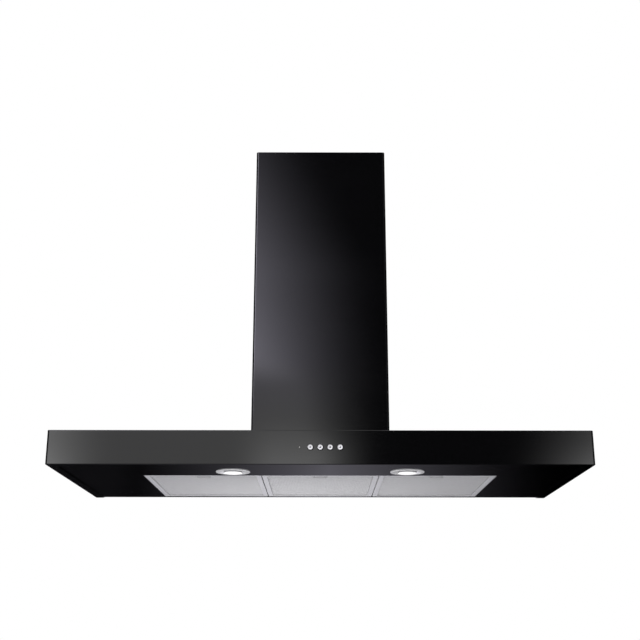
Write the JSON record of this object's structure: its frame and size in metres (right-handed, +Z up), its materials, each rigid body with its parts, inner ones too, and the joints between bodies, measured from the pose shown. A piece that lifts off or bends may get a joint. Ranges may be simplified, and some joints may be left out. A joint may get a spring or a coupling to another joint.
{
  "type": "range hood",
  "caption": "Wall-hung chimney range hood: flat black canopy with mesh grease filters, lamps and push buttons under a telescopic box chimney that hides the blower.",
  "frame": {"origin": "middle of the canopy's rear panel, on the wall, at half the canopy's height", "axes": "+X to the user's right, +Y into the wall, +Z up; the canopy's front and its buttons face -Y"},
  "size_m": [1.1, 0.5026, 0.8005],
  "materials": {
    "enamel_black": "gloss black powder enamel on folded sheet steel",
    "galvanised": "dull zinc-coated sheet",
    "filter_aluminium": "satin rolled channel",
    "filter_mesh": "layers of expanded foil mesh",
    "lamp_chrome": "polished trim ring and spun reflector",
    "lamp_glass": "frosted cover glass",
    "bulb": "opal capsule",
    "indicator_lens": "clear light pipe",
    "button_silver": "satin silver caps with a dark dimple",
    "black_plastic": "moulded, fine texture",
    "white_plastic": "moulded, smooth",
    "circuit_board": "green solder mask",
    "bright_steel": "bright zinc fasteners, shaft and latches"
  },
  "bodies": {
    "hood": {"canopy_shell": "enamel_black", "rear_panel": "enamel_black", "underside_panel": "enamel_black", "chimney_lower_cover": "enamel_black", "blower_chamber": "galvanised", "motor_bracket": "galvanised", "chimney_base_tab_left": "galvanised", "chimney_base_tab_right": "galvanised", "lamp_can_left": "galvanised", "lamp_can_right": "galvanised", "motor": "bright_steel", "damper_spindle": "bright_steel", "chimney_side_screw_left": "bright_steel", "chimney_side_screw_right": "bright_steel", "lamp_bezel_left": "lamp_chrome", "lamp_bezel_right": "lamp_chrome", "lamp_reflector_left": "lamp_chrome", "lamp_reflector_right": "lamp_chrome", "lamp_lens_left": "lamp_glass", "lamp_lens_right": "lamp_glass", "lamp_bulb_left": "bulb", "lamp_bulb_right": "bulb", "indicator_lens": "indicator_lens", "switch_housing": "black_plastic", "control_cover": "black_plastic", "scroll_shell_left": "black_plastic", "scroll_shell_right": "black_plastic", "cable_gland": "black_plastic", "outlet_collar": "black_plastic", "lamp_transformer": "white_plastic", "run_capacitor": "white_plastic", "terminal_box": "white_plastic", "terminal_box_cover": "white_plastic", "control_board": "circuit_board"},
    "light_button": {"button_light": "button_silver"},
    "speed_button_1": {"button_speed_1": "button_silver"},
    "speed_button_2": {"button_speed_2": "button_silver"},
    "speed_button_3": {"button_speed_3": "button_silver"},
    "fan_rotor": {"impeller": "black_plastic", "motor_shaft": "bright_steel"},
    "front_flap": {"damper_flap_front": "black_plastic"},
    "rear_flap": {"damper_flap_rear": "black_plastic"},
    "upper_chimney": {"chimney_upper_cover": "enamel_black", "chimney_top_bracket": "galvanised", "bracket_screw_left": "bright_steel", "bracket_screw_right": "bright_steel"},
    "left_filter": {"filter_frame_left": "filter_aluminium", "filter_mesh_left": "filter_mesh", "filter_latch_cup_left": "bright_steel"},
    "left_filter_latch": {"filter_latch_left": "bright_steel"},
    "middle_filter": {"filter_frame_middle": "filter_aluminium", "filter_mesh_middle": "filter_mesh", "filter_latch_cup_middle": "bright_steel"},
    "middle_filter_latch": {"filter_latch_middle": "bright_steel"},
    "right_filter": {"filter_frame_right": "filter_aluminium", "filter_mesh_right": "filter_mesh", "filter_latch_cup_right": "bright_steel"},
    "right_filter_latch": {"filter_latch_right": "bright_steel"}
  },
  "joints": [
    {"name": "light_button_press", "type": "slide", "parent": "hood", "child": "light_button", "axis": [0, 1, 0], "range_m": [0, 0.002], "stiffness_N_per_m": 400, "springref_m": -0.002},
    {"name": "speed_button_1_press", "type": "slide", "parent": "hood", "child": "speed_button_1", "axis": [0, 1, 0], "range_m": [0, 0.002], "stiffness_N_per_m": 400, "springref_m": -0.002},
    {"name": "speed_button_2_press", "type": "slide", "parent": "hood", "child": "speed_button_2", "axis": [0, 1, 0], "range_m": [0, 0.002], "stiffness_N_per_m": 400, "springref_m": -0.002},
    {"name": "speed_button_3_press", "type": "slide", "parent": "hood", "child": "speed_button_3", "axis": [0, 1, 0], "range_m": [0, 0.002], "stiffness_N_per_m": 400, "springref_m": -0.002},
    {"name": "left_filter_swing", "type": "hinge", "parent": "hood", "child": "left_filter", "pos_m": [-0.252, -0.014, -0.032], "axis": [1, 0, 0], "range_deg": [0, 60]},
    {"name": "left_latch_slide", "type": "slide", "parent": "left_filter", "child": "left_filter_latch", "axis": [0, 1, 0], "range_m": [0, 0.006], "stiffness_N_per_m": 250, "springref_m": -0.003},
    {"name": "middle_filter_swing", "type": "hinge", "parent": "hood", "child": "middle_filter", "pos_m": [0, -0.014, -0.032], "axis": [1, 0, 0], "range_deg": [0, 60]},
    {"name": "middle_latch_slide", "type": "slide", "parent": "middle_filter", "child": "middle_filter_latch", "axis": [0, 1, 0], "range_m": [0, 0.006], "stiffness_N_per_m": 250, "springref_m": -0.003},
    {"name": "right_filter_swing", "type": "hinge", "parent": "hood", "child": "right_filter", "pos_m": [0.252, -0.014, -0.032], "axis": [1, 0, 0], "range_deg": [0, 60]},
    {"name": "right_latch_slide", "type": "slide", "parent": "right_filter", "child": "right_filter_latch", "axis": [0, 1, 0], "range_m": [0, 0.006], "stiffness_N_per_m": 250, "springref_m": -0.003},
    {"name": "fan_spin", "type": "hinge", "parent": "hood", "child": "fan_rotor", "pos_m": [0, -0.128, 0.1493], "axis": [1, 0, 0], "continuous": true},
    {"name": "front_flap_lift", "type": "hinge", "parent": "hood", "child": "front_flap", "pos_m": [0, -0.15, 0.3516], "axis": [-1, 0, 0], "range_deg": [0, 80]},
    {"name": "rear_flap_lift", "type": "hinge", "parent": "hood", "child": "rear_flap", "pos_m": [0, -0.15, 0.3516], "axis": [1, 0, 0], "range_deg": [0, 80]},
    {"name": "chimney_extend", "type": "slide", "parent": "hood", "child": "upper_chimney", "axis": [0, 0, 1], "range_m": [0, 0.4]}
  ]
}
